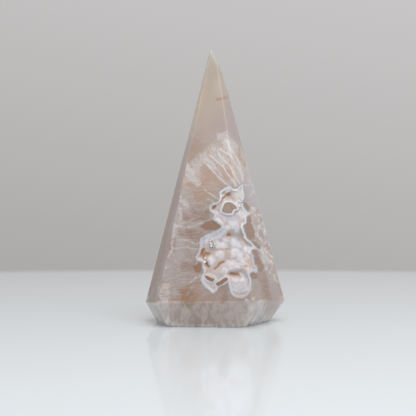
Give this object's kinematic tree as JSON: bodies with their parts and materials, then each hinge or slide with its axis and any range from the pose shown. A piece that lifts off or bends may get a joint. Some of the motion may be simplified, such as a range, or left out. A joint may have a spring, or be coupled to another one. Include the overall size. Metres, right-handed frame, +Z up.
{
  "type": "druzy agate tower",
  "caption": "Polished six-sided agate tower standing on a bevelled foot, with a druzy hollow of white chalcedony and quartz points on its front edge.",
  "frame": {"origin": "middle of the stone's footprint, on the surface that it stands on", "axes": "+Z up along the tower, +X to the right of the face with the hollow, +Y to the back"},
  "size_m": [0.0494, 0.0392, 0.0965],
  "materials": {
    "agate": "polished, translucent",
    "druse": "natural, satin with sparkling crystals"
  },
  "bodies": {
    "root": {"agate_tower": "agate", "druzy_crust": "druse"}
  },
  "joints": []
}
